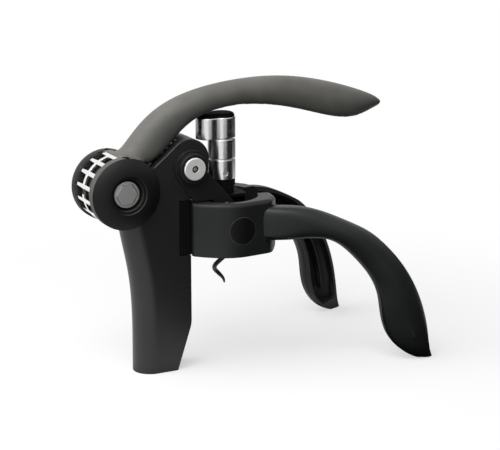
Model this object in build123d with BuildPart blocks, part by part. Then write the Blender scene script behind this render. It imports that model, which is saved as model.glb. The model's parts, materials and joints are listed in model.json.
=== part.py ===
"""Lever corkscrew: a geared lever lifts a worm carriage above two clamp jaws with splayed arms."""

import math
import os

from build123d import *

os.makedirs("parts", exist_ok=True)

# Lengths are in millimetres and angles in degrees.
# X runs from the hub towards the feet, Y across the width, Z up from the table.
# Reach values are measured along X from the hub axis, height values from the table.

# Clearances shared by all pieces
cut_overrun = 2.0
running_clearance = 0.05
moving_clearance = 0.3
seam_gap = 0.15
notch_gap = 0.4

# Hub at the lever's root
hub_radius = 18.0
hub_height = 96.8
flange_gap = 19.0
flange_thickness = 4.8
flange_dome = 3.0
flange_dome_sagitta = 0.7
flange_rim_round = 0.4
recess_radius = 9.6
recess_step_radius = 8.2
recess_step_depth = 1.2
recess_floor_depth = 0.8
drum_inner_radius = 14.4
root_low_angle = 40.0
root_high_angle = 95.0
drum_step_angle = 80.0
drum_step = 1.5

# Chrome rib cage on the hub's back
cage_end_angle = 244.5
cage_outer_radius = 17.4
cage_inner_radius = 14.7
cage_floor_radius = 15.6
cage_pockets = 6
cage_bar_width = 2.6
cage_rib_width = 2.2
cage_mid_width = 2.2
cage_border = 0.9
cage_rib_taper = 2.6
cage_spike_gap = 1.4

# Hub axle and its bushes
axle_radius = 5.0
axle_head_radius = 6.6
axle_hex_flats = 10.4
axle_hex_height = 0.6
axle_hex_taper = 40.0
bush_wall = 1.3

# Gear train from the hub to the rocker
gear_module = 1.04
wheel_teeth = 24
idler_teeth = 12
gear_width = 6.6
gear_line_angle = 14.5
pressure_angle = 25.0
addendum_share = 0.8
dedendum_share = 1.05
backlash = 0.12
flank_steps = 3
sector_first_tooth = 4
sector_last_tooth = 13
sector_back_radius = 9.4
idler_pin_radius = 2.0
idler_pin_front_cover = 1.8

# Crowned sections of the lever and the clamp arms
dome_steps = 4
dome_widest_share = 0.3

# Lever handle
lever_reach = 154.1
lever_over_cap = 16.5
lever_width = 23.0
lever_wall = 2.4
lever_lip = 0.8

# Body casing
body_width = 18.4
leg_front = 36.7
toe_front = 28.8
toe_height = 24.0
toe_round = 16.0
leg_back_top = 1.4
leg_back_foot = 8.3
leg_back_round = 9.0
leg_back_mid_shares = (0.75, 0.66)
shoulder_height = 93.0
ear_radius = 11.0
ear_rise = 3.1
ear_low_angle = -25.0
ear_high_angle = 138.5
ear_edge_round = 0.5
neck_top_reach = 16.6
neck_top_rise = 10.5
neck_low_angle = -13.0
cheek_radius = 13.6
drum_clearance = 0.7

# Notch, hinge block and jaw hinges
notch_back = 30.3
notch_bottom = 60.2
notch_top = 89.1
jaw_hinge_reach = 40.2
jaw_hinge_offset = 5.0
hinge_pin_radius = 1.6
knuckle_radius = 3.2
knuckle_web = 5.0
knuckle_height = 12.0
block_grooves = 4
block_groove = 0.5

# Jaws with their clamp arms
worm_reach = 58.6
jaw_bottom = 60.2
jaw_height = 27.8
jaw_radius = 21.0
jaw_bore_radius = 16.5
jaw_mouth_gap = 0.6
jaw_open_angle = 11.0
jaw_corner_round = 6.0
jaw_flank_angle = 250.0
jaw_prow_angle = 288.0
jaw_top_round = 2.2
prow_round = 3.6
arm_splay_angle = 9.3
arm_offset = 0.6
arm_reach = 125.0
arm_drop = 3.9
arm_depth = 10.2
arm_lip = 0.6
arm_wall = 2.0
arm_rib = 1.0
arm_rib_level = 3.0
pad_radius = 15.0
pad_rise = 0.6
pad_height = 14.0
pad_start_angle = 212.0
pad_end_angle = 350.0
badge_radius = 7.4
badge_depth = 1.2
badge_edge_round = 0.3
badge_rise = 13.6
badge_angle = 279.4

# Rocker arms, axle and caps
rocker_length = 29.0
rocker_rest_angle = -48.5
rocker_thickness = 2.7
rocker_eye_radius = 8.8
rocker_toe_radius = 4.4
rocker_edge = 4.7
rocker_boss_radius = 7.6
rocker_boss_height = 3.2
rocker_edge_round = 0.4
rocker_axle_radius = 4.0
rocker_axle_recess = 2.0
pivot_pin_radius = 0.9
pivot_pin_drop = 0.3
rocker_bush_wall = 1.2
pivot_cap_radius = 5.7
pivot_cap_height = 1.0
pivot_cap_round = 0.4
pivot_cap_hole = 1.8
drive_pin_radius = 2.0
drive_pin_reach = 3.0

# Worm carriage
carriage_bottom = 77.6
carriage_height = 15.4
carriage_width = 18.0
carriage_back = 7.4
carriage_front = 10.2
carriage_shelf_height = 11.8
carriage_neck_front = 4.5
carriage_neck_width = 14.0
carriage_round = 2.5
slot_lift = 1.35
collar_radius = 6.9
collar_height = 3.6

# Silver column on the carriage
column_radius = 7.2
column_core_radius = 5.9
groove_gap = 0.4
sleeve_edge_round = 0.35
lower_sleeve_height = 10.25
upper_sleeve_height = 10.05
cap_offset = 8.0
cap_lobe_radius = 6.1
cap_waist_round = 6.0
cap_edge_round = 0.5
cap_height = 11.0
lid_height = 1.9
lid_inset = 0.6
lid_round = 1.6
set_screw_radius = 1.3
set_screw_angle = -99.4
set_screw_slot = 0.5
set_screw_turn = 50.0
set_screw_rise = 3.4
set_screw_depth = 0.9

# Worm and its chuck
worm_tip_height = 39.8
worm_radius = 4.0
worm_wire_radius = 0.95
worm_curl_height = 8.5
worm_curl_share = 0.6
worm_pitch = 24.0
worm_left_height = 50.5
chuck_radius = 3.6
chuck_flange_radius = 5.4
chuck_flange_height = 2.3
chuck_head_radius = 4.7
chuck_head_height = 2.0

# Worm guide
guide_bottom = 65.0
guide_height = 6.0
guide_radius = 12.4
guide_bore_radius = 5.4
guide_arm_width = 3.0

# Places worked out from the sizes above
hub_to_idler = gear_module * (wheel_teeth + idler_teeth) / 2
hub_to_rocker = 2 * hub_to_idler
line_cos = math.cos(math.radians(gear_line_angle))
line_sin = math.sin(math.radians(gear_line_angle))
rocker_reach = hub_to_rocker * line_cos
rocker_height = hub_height + hub_to_rocker * line_sin
wheel_tip_radius = gear_module * (wheel_teeth / 2 + addendum_share)
arm_angle = jaw_open_angle + arm_splay_angle
arm_cos = math.cos(math.radians(arm_angle))
arm_sin = math.sin(math.radians(arm_angle))
foot_reach = jaw_hinge_reach + arm_reach * arm_cos - (arm_offset - arm_lip) * arm_sin
hub_x = (hub_radius - foot_reach) / 2
worm_x = hub_x + worm_reach
knuckle_bottom = (notch_bottom + notch_top - knuckle_height) / 2
arm_height = jaw_bottom + jaw_height - arm_drop
carriage_top = carriage_bottom + carriage_height
collar_top = carriage_top + collar_height
lower_sleeve_top = collar_top + lower_sleeve_height
upper_sleeve_top = lower_sleeve_top + groove_gap + upper_sleeve_height
cap_shell_top = upper_sleeve_top + groove_gap + cap_height
cap_top = cap_shell_top + lid_height
lever_rise = cap_top - hub_height + lever_over_cap
gear_slot = gear_width + 2 * moving_clearance
plate_outer = body_width / 2
rocker_inner = plate_outer + moving_clearance
rocker_outer = rocker_inner + rocker_thickness
boss_outer = rocker_outer + rocker_boss_height
relief_radius = hub_radius + drum_clearance

# Working planes: local x is a reach, local y is Z, and their normals point to the front
side_plane = Plane(origin=(hub_x, 0, 0), x_dir=(1, 0, 0), z_dir=(0, -1, 0))
hub_plane = Plane(origin=(hub_x, 0, hub_height), x_dir=(1, 0, 0), z_dir=(0, -1, 0))
rocker_plane = Plane(
    origin=(hub_x + rocker_reach, 0, rocker_height),
    x_dir=(math.cos(math.radians(rocker_rest_angle)), 0, math.sin(math.radians(rocker_rest_angle))),
    z_dir=(0, -1, 0),
)
turn_plane = Plane(origin=(hub_x, 0, hub_height), x_dir=(1, 0, 0), z_dir=(0, 0, 1))
plan_plane = Plane(origin=(hub_x, 0, 0), x_dir=(1, 0, 0), z_dir=(0, 0, 1))
worm_plane = Plane(origin=(worm_x, 0, 0), x_dir=(1, 0, 0), z_dir=(0, 0, 1))

# The front jaw is drawn closed in its own plane, which is turned open about its hinge pin
jaw_plane = Plane(
    origin=(hub_x + jaw_hinge_reach, -jaw_hinge_offset, 0),
    x_dir=(math.cos(math.radians(jaw_open_angle)), -math.sin(math.radians(jaw_open_angle)), 0),
    z_dir=(0, 0, 1),
)
jaw_centre = (worm_reach - jaw_hinge_reach, jaw_hinge_offset)
arm_plane = Plane(
    origin=(
        hub_x + jaw_hinge_reach - arm_offset * arm_sin,
        -jaw_hinge_offset - arm_offset * arm_cos,
        0,
    ),
    x_dir=(arm_cos, -arm_sin, 0),
    z_dir=(-arm_sin, -arm_cos, 0),
)


def polar(radius, angle):
    """Point at a radius and an angle about the local origin."""
    return (radius * math.cos(math.radians(angle)), radius * math.sin(math.radians(angle)))


def sector(inner, outer, start, end):
    """Ring sector about the local origin, from the start angle to the end angle."""
    with BuildSketch() as shape:
        with BuildLine():
            CenterArc((0, 0), outer, start, end - start)
            Line(polar(outer, end), polar(inner, end))
            CenterArc((0, 0), inner, end, start - end)
            Line(polar(inner, start), polar(outer, start))
        make_face()
    return shape.sketch


def dome(plane, half, crown, fullness, foot_share, drop):
    """Crowned section on a plane: a superellipse above its widest line, drawn in below it to a flat foot."""
    widest = crown * dome_widest_share
    upper = []
    for step in range(1, 2 * dome_steps):
        angle = math.pi * step / (2 * dome_steps)
        across = abs(math.cos(angle)) ** (2 / fullness)
        across = math.copysign(across, math.cos(angle))
        upper.append((half * across, widest + (crown - widest) * math.sin(angle) ** (2 / fullness)))
    foot = half * foot_share
    with BuildSketch(plane) as section:
        with BuildLine():
            Spline([(half, widest)] + upper + [(-half, widest)], tangents=((0, 1), (0, -1)))
            Spline((-half, widest), (-foot, -drop), tangents=((0, -1), (half - foot, -drop - widest)))
            Line((-foot, -drop), (foot, -drop))
            Spline((foot, -drop), (half, widest), tangents=((half - foot, drop + widest), (0, 1)))
        make_face()
    return section.sketch


def gear_points(teeth, phase):
    """Outline of an involute spur gear with one tooth centred on the phase angle."""
    pitch_radius = gear_module * teeth / 2
    base_radius = pitch_radius * math.cos(math.radians(pressure_angle))
    tip_radius = pitch_radius + addendum_share * gear_module
    root_radius = pitch_radius - dedendum_share * gear_module
    involute = math.tan(math.radians(pressure_angle)) - math.radians(pressure_angle)
    half_tooth = math.pi / teeth / 2 - backlash / pitch_radius / 2 + involute
    first_radius = max(base_radius, root_radius)
    flank = []
    for step in range(flank_steps + 1):
        radius = first_radius + (tip_radius - first_radius) * step / flank_steps
        roll = math.sqrt(max((radius / base_radius) ** 2 - 1, 0))
        flank.append((radius, half_tooth - (roll - math.atan(roll))))
    if root_radius < first_radius:
        flank.insert(0, (root_radius, flank[0][1]))
    points = []
    for tooth in range(teeth):
        centre = math.radians(phase) + 2 * math.pi * tooth / teeth
        sides = [(r, centre - a) for r, a in flank] + [(r, centre + a) for r, a in reversed(flank)]
        points += [(r * math.cos(a), r * math.sin(a)) for r, a in sides]
    return points


# Body casing: leg, column, two ear plates and the neck with its cheeks inside the hub
with BuildPart() as body_casing:
    back_top = hub_height - math.sqrt(relief_radius**2 - leg_back_top**2)
    back_mid = (
        leg_back_top + leg_back_mid_shares[0] * (leg_back_foot - leg_back_top),
        leg_back_mid_shares[1] * back_top,
    )
    ear_centre = (rocker_reach, rocker_height + ear_rise)
    ear_start = (
        ear_centre[0] + polar(ear_radius, ear_low_angle)[0],
        ear_centre[1] + polar(ear_radius, ear_low_angle)[1],
    )
    neck_top = (neck_top_reach, hub_height + neck_top_rise)
    with BuildSketch(side_plane):
        with BuildLine():
            Polyline((toe_front, 0), (leg_front, toe_height), (leg_front, shoulder_height), ear_start)
            ear_arc = CenterArc(ear_centre, ear_radius, ear_low_angle, ear_high_angle - ear_low_angle)
            Polyline(ear_arc @ 1, neck_top, (leg_back_top, neck_top[1]), (leg_back_top, back_top))
            Spline(
                (leg_back_top, back_top),
                back_mid,
                (leg_back_foot, 0),
                tangents=((leg_back_foot - leg_back_top, -back_top / 2), (0, -back_top)),
            )
            Line((leg_back_foot, 0), (toe_front, 0))
        make_face()
    extrude(amount=body_width / 2, both=True)
    fillet(body_casing.edges().filter_by(GeomType.BSPLINE), leg_back_round)
    toe_edge = Vector(hub_x + leg_front, 0, toe_height)
    fillet(body_casing.edges().filter_by(Axis.Y).sort_by_distance(toe_edge)[0], toe_round)
    ear_arcs = [
        edge
        for edge in body_casing.edges().filter_by(GeomType.CIRCLE)
        if math.isclose(edge.radius, ear_radius) and math.isclose(abs(edge.center().Y), plate_outer)
    ]
    ear_lines = [
        edge
        for edge in body_casing.edges().filter_by(GeomType.LINE).filter_by(Axis.Y, reverse=True)
        if edge.center().Z > shoulder_height and edge.center().X > hub_x + neck_top_reach
    ]
    fillet(ear_arcs + ear_lines, ear_edge_round)
    with BuildSketch(hub_plane):
        Circle(relief_radius)
    extrude(amount=body_width / 2 + cut_overrun, both=True, mode=Mode.SUBTRACT)
    with BuildSketch(hub_plane):
        with BuildLine():
            low_reach, low_rise = polar(relief_radius + cut_overrun, neck_low_angle)
            Polyline(
                (0, 0),
                (low_reach, low_rise),
                (low_reach + cut_overrun, neck_top_rise),
                (neck_top_reach, neck_top_rise),
                close=True,
            )
        make_face()
        Circle(cheek_radius)
    extrude(amount=body_width / 2, both=True)
    with BuildSketch(hub_plane):
        with Locations((hub_to_idler * line_cos, hub_to_idler * line_sin)):
            SlotCenterToCenter(
                hub_to_rocker, 2 * (wheel_tip_radius + 2 * moving_clearance), rotation=gear_line_angle
            )
    extrude(amount=gear_slot / 2, both=True, mode=Mode.SUBTRACT)
    with BuildSketch(hub_plane):
        Circle(axle_radius + running_clearance + bush_wall)
        with Locations((hub_to_rocker * line_cos, hub_to_rocker * line_sin)):
            Circle(rocker_axle_radius + running_clearance + rocker_bush_wall)
    extrude(amount=body_width / 2 + cut_overrun, both=True, mode=Mode.SUBTRACT)
    with BuildSketch(hub_plane.offset(-plate_outer)):
        with Locations((hub_to_idler * line_cos, hub_to_idler * line_sin)):
            Circle(idler_pin_radius)
    extrude(amount=body_width - idler_pin_front_cover, mode=Mode.SUBTRACT)
    with BuildSketch(side_plane):
        with BuildLine():
            Polyline(
                (notch_back, notch_bottom),
                (leg_front + cut_overrun, notch_bottom),
                (leg_front + cut_overrun, notch_top),
                (notch_back, notch_top),
                close=True,
            )
        make_face()
    extrude(amount=body_width / 2 + cut_overrun, both=True, mode=Mode.SUBTRACT)

# Bushes for the hub axle and for the rocker axle, one in each plate
with BuildPart() as hub_bushes:
    for side in (gear_slot / 2, -plate_outer):
        with BuildSketch(hub_plane.offset(side)):
            Circle(axle_radius + running_clearance + bush_wall)
            Circle(axle_radius + running_clearance, mode=Mode.SUBTRACT)
        extrude(amount=plate_outer - gear_slot / 2)

with BuildPart() as rocker_bushes:
    for side in (gear_slot / 2, -plate_outer):
        with BuildSketch(rocker_plane.offset(side)):
            Circle(rocker_axle_radius + running_clearance + rocker_bush_wall)
            Circle(rocker_axle_radius + running_clearance, mode=Mode.SUBTRACT)
        extrude(amount=plate_outer - gear_slot / 2)

with BuildPart() as idler_pin:
    with BuildSketch(hub_plane.offset(-plate_outer)):
        with Locations((hub_to_idler * line_cos, hub_to_idler * line_sin)):
            Circle(idler_pin_radius)
    extrude(amount=body_width - idler_pin_front_cover)

# Lever: handle, root and two domed flanges in one moulding
# Each station gives the top edge, the bottom edge, the half width, the fullness and the foot
lever_root_shares = (
    ((0.03, 0.90), (0.76, 0.70), 0.75, 2.6, 0.97),
    ((0.548, 1.458), (1.15, 0.96), 0.76, 2.5, 0.93),
)
lever_station_shares = (
    ((0.199, 0.836), (0.2345, 0.608), 0.72, 2.4, 0.86),
    ((0.391, 0.976), (0.389, 0.762), 0.70, 2.3, 0.84),
    ((0.598, 0.990), (0.578, 0.720), 0.80, 2.2, 0.86),
    ((0.790, 0.883), (0.753, 0.581), 0.98, 2.1, 0.90),
    ((0.893, 0.786), (0.853, 0.541), 0.86, 2.0, 0.93),
    ((0.973, 0.686), (0.944, 0.580), 0.42, 2.0, 0.95),
    ((0.999, 0.636), (0.992, 0.604), 0.10, 2.0, 0.95),
)
lever_hollow_stations = slice(0, 6)


def lever_section(station, reach, rise, shrink, drop):
    """Crowned section of the lever at a station, made smaller all round and drawn down below its edge."""
    (top_x, top_z), (low_x, low_z), width_share, fullness, foot_share = station
    low = Vector(low_x * reach, 0, low_z * rise)
    height = Vector(top_x * reach, 0, top_z * rise) - low
    up = height.normalized()
    plane = Plane(origin=Vector(hub_x, 0, hub_height) + low, x_dir=(0, 1, 0), z_dir=(up.Z, 0, -up.X))
    half = width_share * lever_width / 2
    foot = (half * foot_share - shrink) / (half - shrink)
    return dome(plane, half - shrink, height.length - shrink, fullness, foot, drop)


with BuildPart() as lever:
    root = [lever_section(station, hub_radius, hub_radius, 0, lever_lip) for station in lever_root_shares]
    loft(root + [lever_section(station, lever_reach, lever_rise, 0, lever_lip) for station in lever_station_shares])
    hollow = [
        lever_section(station, lever_reach, lever_rise, lever_wall, lever_lip + cut_overrun)
        for station in lever_station_shares[lever_hollow_stations]
    ]
    loft(hollow, mode=Mode.SUBTRACT)
    with BuildSketch(hub_plane):
        add(sector(drum_inner_radius, hub_radius, drum_step_angle, root_high_angle))
        add(sector(drum_inner_radius, hub_radius - drum_step, root_low_angle, drum_step_angle))
    extrude(amount=flange_gap / 2, both=True)
    flange_inner = flange_gap / 2
    flange_rim = flange_inner + flange_thickness
    flange_crown = flange_rim + flange_dome
    recess_step = flange_crown - recess_step_depth
    recess_floor = flange_rim - recess_floor_depth
    with BuildSketch(turn_plane):
        with BuildLine():
            Polyline(
                (recess_radius, flange_crown),
                (recess_radius, recess_step),
                (recess_step_radius, recess_step),
                (recess_step_radius, recess_floor),
                (axle_head_radius, recess_floor),
                (axle_head_radius, flange_inner),
                (hub_radius, flange_inner),
                (hub_radius, flange_rim - flange_rim_round),
                (hub_radius - flange_rim_round, flange_rim),
            )
            SagittaArc(
                (hub_radius - flange_rim_round, flange_rim), (recess_radius, flange_crown), -flange_dome_sagitta
            )
        make_face()
    revolve(axis=Axis((hub_x, 0, hub_height), (0, 1, 0)))
    with BuildSketch(turn_plane):
        with BuildLine():
            Polyline(
                (recess_radius, -flange_crown),
                (recess_radius, -recess_step),
                (recess_step_radius, -recess_step),
                (recess_step_radius, -recess_floor),
                (axle_head_radius, -recess_floor),
                (axle_head_radius, -flange_inner),
                (hub_radius, -flange_inner),
                (hub_radius, flange_rim_round - flange_rim),
                (hub_radius - flange_rim_round, -flange_rim),
            )
            SagittaArc(
                (hub_radius - flange_rim_round, -flange_rim), (recess_radius, -flange_crown), flange_dome_sagitta
            )
        make_face()
    revolve(axis=Axis((hub_x, 0, hub_height), (0, 1, 0)))

# Chrome cage: a ring sector with a front row of closed pockets and free ribs behind its middle band
with BuildPart() as rib_cage:
    cage_half = flange_gap / 2 - seam_gap
    bar_angle = math.degrees(cage_bar_width / cage_outer_radius)
    rib_angle = math.degrees(cage_rib_width / cage_outer_radius)
    first_angle = root_high_angle + bar_angle - rib_angle / 2
    last_angle = cage_end_angle - bar_angle + rib_angle / 2
    pocket_pitch = (last_angle - first_angle) / cage_pockets
    with BuildSketch(hub_plane):
        add(sector(cage_inner_radius, cage_outer_radius, root_high_angle, cage_end_angle))
    extrude(amount=cage_half)
    with BuildSketch(hub_plane):
        add(sector(cage_inner_radius, cage_outer_radius, root_high_angle, cage_end_angle))
    extrude(amount=cage_spike_gap - flange_gap / 2)
    for pocket in range(cage_pockets):
        start = first_angle + pocket * pocket_pitch + rib_angle / 2
        end = first_angle + (pocket + 1) * pocket_pitch - rib_angle / 2
        with BuildSketch(hub_plane.offset(cage_mid_width / 2)):
            add(sector(cage_floor_radius, cage_outer_radius + cut_overrun, start, end))
        extrude(amount=cage_half - cage_border - cage_mid_width / 2, mode=Mode.SUBTRACT)
        with BuildSketch(hub_plane.offset(-cage_mid_width / 2)):
            add(sector(cage_inner_radius - cut_overrun, cage_outer_radius + cut_overrun, start, end))
        extrude(amount=cage_mid_width / 2 - cage_half, taper=-cage_rib_taper, mode=Mode.SUBTRACT)

# Hub axle: journals in the bushes, a head in each flange and a hexagon on each end
with BuildPart() as hub_axle:
    with BuildSketch(hub_plane):
        Circle(axle_radius)
    extrude(amount=flange_inner, both=True)
    for side in (1, -1):
        with BuildSketch(hub_plane.offset(side * flange_inner)):
            Circle(axle_head_radius)
        extrude(amount=side * flange_thickness)
        with BuildSketch(hub_plane.offset(side * flange_rim)):
            RegularPolygon(axle_hex_flats / 2, 6, major_radius=False)
        extrude(amount=side * axle_hex_height, taper=axle_hex_taper)

# Gear train between the ear plates
with BuildPart() as hub_gear:
    with BuildSketch(hub_plane):
        Polygon(*gear_points(wheel_teeth, gear_line_angle), align=None)
        Circle(axle_radius, mode=Mode.SUBTRACT)
    extrude(amount=gear_width / 2, both=True)

with BuildPart() as idler_gear:
    with BuildSketch(hub_plane):
        with Locations((hub_to_idler * line_cos, hub_to_idler * line_sin)):
            Polygon(*gear_points(idler_teeth, gear_line_angle + 180 / idler_teeth), align=None)
            Circle(idler_pin_radius + running_clearance, mode=Mode.SUBTRACT)
    extrude(amount=gear_width / 2, both=True)

with BuildPart() as rocker_gear:
    with BuildSketch(hub_plane):
        tooth_angle = 360 / wheel_teeth
        sector_start = gear_line_angle + (sector_first_tooth - 1 / 2) * tooth_angle
        sector_end = gear_line_angle + (sector_last_tooth + 1 / 2) * tooth_angle
        with Locations((hub_to_rocker * line_cos, hub_to_rocker * line_sin)):
            Polygon(*gear_points(wheel_teeth, gear_line_angle), align=None)
            plain = sector(sector_back_radius, wheel_tip_radius + cut_overrun, sector_end, sector_start + 360)
            add(plain, mode=Mode.SUBTRACT)
            Circle(rocker_axle_radius, mode=Mode.SUBTRACT)
    extrude(amount=gear_width / 2, both=True)

# Rocker: axle, two arms with bosses, two silver caps and two drive pins
with BuildPart() as rocker_axle:
    with BuildSketch(rocker_plane):
        Circle(rocker_axle_radius)
    extrude(amount=boss_outer - rocker_axle_recess, both=True)
    with BuildSketch(rocker_plane):
        Circle(pivot_pin_radius)
    extrude(amount=boss_outer + pivot_cap_height - pivot_pin_drop, both=True)

rocker_left_shares = ((-0.03, -1.0), (0.49, -1.16), (0.725, -0.31), (0.95, -0.48))

with BuildPart() as front_rocker_arm:
    with BuildSketch(rocker_plane.offset(rocker_inner)):
        Circle(rocker_eye_radius)
        with Locations((rocker_length, 0)):
            Circle(rocker_toe_radius)
        with BuildLine():
            Polyline(
                *[(t * rocker_length, s * rocker_eye_radius) for t, s in rocker_left_shares],
                (rocker_length, -rocker_toe_radius),
                (rocker_length, rocker_toe_radius),
                (0, rocker_edge),
                close=True,
            )
        make_face()
        Circle(rocker_axle_radius, mode=Mode.SUBTRACT)
        with Locations((rocker_length, 0)):
            Circle(drive_pin_radius, mode=Mode.SUBTRACT)
    extrude(amount=rocker_thickness)
    with BuildSketch(rocker_plane.offset(rocker_outer)):
        Circle(rocker_boss_radius)
        Circle(rocker_axle_radius, mode=Mode.SUBTRACT)
    extrude(amount=rocker_boss_height)
    fillet(front_rocker_arm.faces().sort_by(Axis.Y)[0].outer_wire().edges(), rocker_edge_round)

with BuildPart() as rear_rocker_arm:
    mirror(front_rocker_arm.part, about=Plane.XZ)

with BuildPart() as front_pivot_cap:
    with BuildSketch(rocker_plane.offset(boss_outer)):
        Circle(pivot_cap_radius)
        Circle(pivot_cap_hole, mode=Mode.SUBTRACT)
    extrude(amount=pivot_cap_height)
    fillet(front_pivot_cap.faces().sort_by(Axis.Y)[0].outer_wire().edges(), pivot_cap_round)

with BuildPart() as rear_pivot_cap:
    mirror(front_pivot_cap.part, about=Plane.XZ)

with BuildPart() as drive_pins:
    for side in (1, -1):
        with BuildSketch(rocker_plane.offset(side * rocker_outer)):
            with Locations((rocker_length, 0)):
                Circle(drive_pin_radius)
        extrude(amount=-side * (rocker_thickness + drive_pin_reach))

# Worm carriage: shelf with a slot in each side for the drive pins, and a neck under the column
pin_reach = rocker_reach + polar(rocker_length, rocker_rest_angle)[0]
pin_height = rocker_height + polar(rocker_length, rocker_rest_angle)[1]
slot_low = pin_reach - drive_pin_radius - moving_clearance
slot_high = rocker_reach + rocker_length + drive_pin_radius + moving_clearance
slot_half = drive_pin_radius + slot_lift

with BuildPart() as carriage_block:
    with BuildSketch(worm_plane.offset(carriage_bottom)):
        with Locations(((carriage_front - carriage_back) / 2, 0)):
            RectangleRounded(carriage_front + carriage_back, carriage_width, carriage_round)
    extrude(amount=carriage_shelf_height)
    with BuildSketch(worm_plane.offset(carriage_bottom)):
        with Locations(((carriage_neck_front - carriage_back) / 2, 0)):
            RectangleRounded(carriage_neck_front + carriage_back, carriage_neck_width, carriage_round)
    extrude(amount=carriage_top - carriage_bottom)
    with BuildSketch(worm_plane.offset(carriage_top)):
        Circle(collar_radius)
    extrude(amount=collar_top - carriage_top)
    with BuildSketch(worm_plane.offset(carriage_bottom)):
        Circle(chuck_radius + running_clearance)
    extrude(amount=collar_top - carriage_bottom, mode=Mode.SUBTRACT)
    for side in (1, -1):
        with BuildSketch(side_plane.offset(side * (plate_outer + cut_overrun))):
            with Locations(((slot_low + slot_high) / 2, pin_height)):
                Rectangle(slot_high - slot_low, 2 * slot_half)
        slot_depth = plate_outer + cut_overrun - rocker_inner + drive_pin_reach + moving_clearance
        extrude(amount=-side * slot_depth, mode=Mode.SUBTRACT)

# Silver column: core, two sleeves, a two-lobed cap with a black top, set screw
screw_plane = Plane(
    origin=(worm_x, 0, collar_top + set_screw_rise),
    x_dir=(0, 0, 1),
    z_dir=(math.cos(math.radians(set_screw_angle)), math.sin(math.radians(set_screw_angle)), 0),
)


def outer_edges(piece, radius):
    """Circular edges of a piece that have a given radius."""
    return [edge for edge in piece.edges().filter_by(GeomType.CIRCLE) if math.isclose(edge.radius, radius)]


def cap_outline(inset):
    """Outline of the cap: the column's circle and a smaller lobe towards the hub, joined by hollow waists."""
    far = cap_waist_round + column_radius
    near = cap_waist_round + cap_lobe_radius
    waist_x = (near**2 - far**2 - cap_offset**2) / (2 * cap_offset)
    waist_y = math.sqrt(far**2 - waist_x**2)
    far_angle = math.degrees(math.atan2(waist_y, waist_x))
    near_angle = math.degrees(math.atan2(waist_y, waist_x + cap_offset))
    bend = near_angle - far_angle
    with BuildSketch() as outline:
        with BuildLine():
            CenterArc((0, 0), column_radius - inset, -far_angle, 2 * far_angle)
            CenterArc((waist_x, waist_y), cap_waist_round + inset, far_angle + 180, bend)
            CenterArc((-cap_offset, 0), cap_lobe_radius - inset, near_angle, 360 - 2 * near_angle)
            CenterArc((waist_x, -waist_y), cap_waist_round + inset, 180 - near_angle, bend)
        make_face()
    return outline.sketch


with BuildPart() as column_core:
    with BuildSketch(worm_plane.offset(collar_top)):
        Circle(column_core_radius)
    extrude(amount=cap_shell_top - collar_top)
    with BuildSketch(worm_plane.offset(collar_top)):
        Circle(chuck_head_radius + moving_clearance)
    extrude(amount=chuck_head_height + 2 * moving_clearance, mode=Mode.SUBTRACT)

with BuildPart() as lower_sleeve:
    with BuildSketch(worm_plane.offset(collar_top)):
        Circle(column_radius)
        Circle(column_core_radius, mode=Mode.SUBTRACT)
    extrude(amount=lower_sleeve_top - collar_top)
    fillet(outer_edges(lower_sleeve, column_radius), sleeve_edge_round)
    with BuildSketch(screw_plane):
        Circle(set_screw_radius)
    extrude(amount=column_radius + cut_overrun, mode=Mode.SUBTRACT)

with BuildPart() as upper_sleeve:
    with BuildSketch(worm_plane.offset(lower_sleeve_top + groove_gap)):
        Circle(column_radius)
        Circle(column_core_radius, mode=Mode.SUBTRACT)
    extrude(amount=upper_sleeve_top - lower_sleeve_top - groove_gap)
    fillet(outer_edges(upper_sleeve, column_radius), sleeve_edge_round)

with BuildPart() as set_screw:
    with BuildSketch(screw_plane.offset(column_core_radius)):
        Circle(set_screw_radius)
    extrude(amount=set_screw_depth)
    with BuildSketch(screw_plane.offset(column_core_radius + set_screw_depth - set_screw_slot)):
        Rectangle(2 * set_screw_radius, set_screw_slot, rotation=set_screw_turn)
    extrude(amount=set_screw_slot, mode=Mode.SUBTRACT)

with BuildPart() as column_cap:
    with BuildSketch(worm_plane.offset(upper_sleeve_top + groove_gap)):
        add(cap_outline(0))
    extrude(amount=cap_shell_top - upper_sleeve_top - groove_gap)
    fillet(column_cap.edges().filter_by(Plane.XY), cap_edge_round)
    with BuildSketch(worm_plane.offset(upper_sleeve_top + groove_gap)):
        Circle(column_core_radius)
    extrude(amount=cap_shell_top - upper_sleeve_top - groove_gap, mode=Mode.SUBTRACT)

with BuildPart() as cap_lid:
    with BuildSketch(worm_plane.offset(cap_shell_top)):
        add(cap_outline(lid_inset))
    extrude(amount=cap_top - cap_shell_top)
    fillet(cap_lid.faces().sort_by(Axis.Z)[-1].edges(), lid_round)

# Worm: a right-handed wire helix on biarcs, a quarter turn at a time
flange_low = carriage_bottom - moving_clearance - chuck_flange_height


def helix_point(height):
    """Point and unit direction of the worm's centre line at a height; its tip curls in to the axis."""
    turn = math.pi + 2 * math.pi * (height - worm_left_height) / worm_pitch
    curl = max(1 - (height - worm_tip_height) / worm_curl_height, 0)
    radius = worm_radius * (1 - worm_curl_share * curl**2)
    inward = 2 * worm_radius * worm_curl_share * curl / worm_curl_height
    run = 2 * math.pi * radius / worm_pitch
    out = Vector(math.cos(turn), math.sin(turn), 0)
    round_way = Vector(-math.sin(turn), math.cos(turn), 0)
    place = Vector(worm_x, 0, height) + out * radius
    return place, (out * inward + round_way * run + Vector(0, 0, 1)).normalized()


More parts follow.
